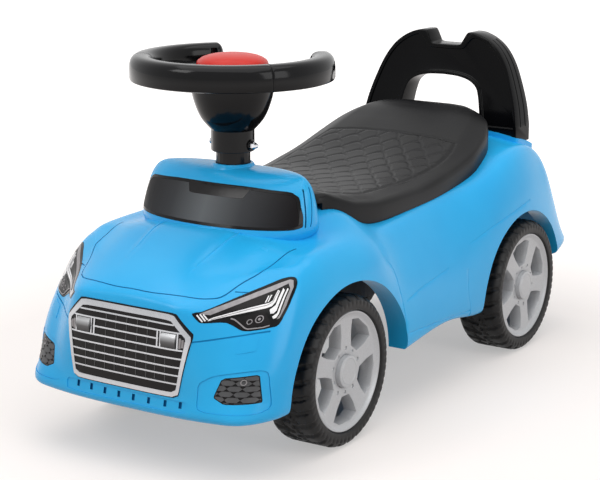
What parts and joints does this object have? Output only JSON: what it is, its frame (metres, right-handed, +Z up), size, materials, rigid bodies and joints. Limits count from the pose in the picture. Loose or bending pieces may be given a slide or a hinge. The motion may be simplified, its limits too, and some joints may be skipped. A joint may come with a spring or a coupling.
{
  "type": "kids ride-on car",
  "caption": "Foot-to-floor ride-on car: moulded shell, lift-up seat over a bin, backrest handle, spoked wheels and a steering wheel with a horn button.",
  "frame": {"origin": "floor level, at the centre of the car's length and width", "axes": "+Z up, -Y towards the nose, +X towards the car's left side"},
  "size_m": [0.2796, 0.6714, 0.3605],
  "materials": {
    "sky_blue_shell": "glossy moulded",
    "seat_black": "satin moulded with a quilted panel",
    "gloss_black": "glossy moulded",
    "horn_red": "glossy moulded",
    "tyre_black": "satin moulded tread",
    "rim_grey": "silver-grey pigmented",
    "grille_foil": "printed foil, black with bright bars",
    "lamp_foil": "printed foil, grey, black and white",
    "vent_black": "satin",
    "screen_foil": "printed foil, black to grey",
    "underbody_grey": "plain moulded",
    "zinc_steel": "zinc plated"
  },
  "bodies": {
    "body": {"body_shell": "sky_blue_shell", "grille_insert": "grille_foil", "headlight_left": "lamp_foil", "headlight_right": "lamp_foil", "fog_vent_left": "vent_black", "fog_vent_right": "vent_black", "windscreen_panel": "screen_foil", "front_axle_beam": "underbody_grey", "rear_axle_carrier": "underbody_grey", "front_beam_screw_left": "zinc_steel", "front_beam_screw_right": "zinc_steel", "rear_carrier_screw_left": "zinc_steel", "rear_carrier_screw_right": "zinc_steel", "rod_bush": "underbody_grey", "storage_bin": "underbody_grey", "backrest": "gloss_black", "seat_hinge_pin": "zinc_steel", "rear_axle": "zinc_steel", "axle_clip_rear_left": "zinc_steel", "axle_clip_rear_right": "zinc_steel"},
    "seat": {"seat_lid": "seat_black"},
    "steering": {"steering_wheel": "gloss_black", "hub_bowl": "gloss_black", "grip_left": "gloss_black", "grip_right": "gloss_black", "column_tube": "gloss_black", "steering_rod": "zinc_steel", "clamp_bolt": "zinc_steel", "acorn_nut": "zinc_steel", "sound_box": "underbody_grey", "speaker": "zinc_steel", "horn_spring": "zinc_steel"},
    "horn": {"horn_button": "horn_red"},
    "tie_bar": {"tie_rod": "zinc_steel"},
    "steering_knuckle_left": {"knuckle_left": "underbody_grey", "kingpin_clip_left": "zinc_steel", "stub_axle_left": "zinc_steel", "axle_clip_front_left": "zinc_steel"},
    "steering_knuckle_right": {"knuckle_right": "underbody_grey", "kingpin_clip_right": "zinc_steel", "stub_axle_right": "zinc_steel", "axle_clip_front_right": "zinc_steel"},
    "wheel_front_left": {"tyre_front_left": "tyre_black", "rim_front_left": "rim_grey", "hub_cap_front_left": "rim_grey"},
    "wheel_front_right": {"tyre_front_right": "tyre_black", "rim_front_right": "rim_grey", "hub_cap_front_right": "rim_grey"},
    "wheel_rear_left": {"tyre_rear_left": "tyre_black", "rim_rear_left": "rim_grey", "hub_cap_rear_left": "rim_grey"},
    "wheel_rear_right": {"tyre_rear_right": "tyre_black", "rim_rear_right": "rim_grey", "hub_cap_rear_right": "rim_grey"}
  },
  "joints": [
    {"name": "seat_lift", "type": "hinge", "parent": "body", "child": "seat", "pos_m": [0, -0.1272, 0.222], "axis": [1, 0, 0], "range_deg": [0, 65]},
    {"name": "steering_turn", "type": "hinge", "parent": "body", "child": "steering", "pos_m": [0, -0.1627, 0.226], "axis": [0, 0, 1], "range_deg": [-30, 30]},
    {"name": "horn_press", "type": "slide", "parent": "steering", "child": "horn", "axis": [0, 0, -1], "range_m": [0, 0.003], "stiffness_N_per_m": 600, "springref_m": -0.003, "deforming": ["horn_spring"]},
    {"name": "tie_bar_slide", "type": "slide", "parent": "body", "child": "tie_bar", "axis": [1, 0, 0], "range_m": [-0.0153, 0.0153]},
    {"name": "knuckle_left_turn", "type": "hinge", "parent": "body", "child": "steering_knuckle_left", "pos_m": [0.072, -0.1687, 0.0725], "axis": [0, 0, 1], "range_deg": [-25, 25]},
    {"name": "knuckle_right_turn", "type": "hinge", "parent": "body", "child": "steering_knuckle_right", "pos_m": [-0.072, -0.1687, 0.0725], "axis": [0, 0, 1], "range_deg": [-25, 25]},
    {"name": "wheel_front_left_spin", "type": "hinge", "parent": "steering_knuckle_left", "child": "wheel_front_left", "pos_m": [0.1103, -0.1687, 0.0725], "axis": [1, 0, 0], "continuous": true},
    {"name": "wheel_front_right_spin", "type": "hinge", "parent": "steering_knuckle_right", "child": "wheel_front_right", "pos_m": [-0.1103, -0.1687, 0.0725], "axis": [1, 0, 0], "continuous": true},
    {"name": "wheel_rear_left_spin", "type": "hinge", "parent": "body", "child": "wheel_rear_left", "pos_m": [0.1103, 0.2033, 0.0725], "axis": [1, 0, 0], "continuous": true},
    {"name": "wheel_rear_right_spin", "type": "hinge", "parent": "body", "child": "wheel_rear_right", "pos_m": [-0.1103, 0.2033, 0.0725], "axis": [1, 0, 0], "continuous": true}
  ],
  "couplings": [
    {"joint": "tie_bar_slide", "follows": "steering_turn", "m_per_rad": -0.029},
    {"joint": "knuckle_left_turn", "follows": "steering_turn", "ratio": 0.8286},
    {"joint": "knuckle_right_turn", "follows": "steering_turn", "ratio": 0.8286}
  ]
}
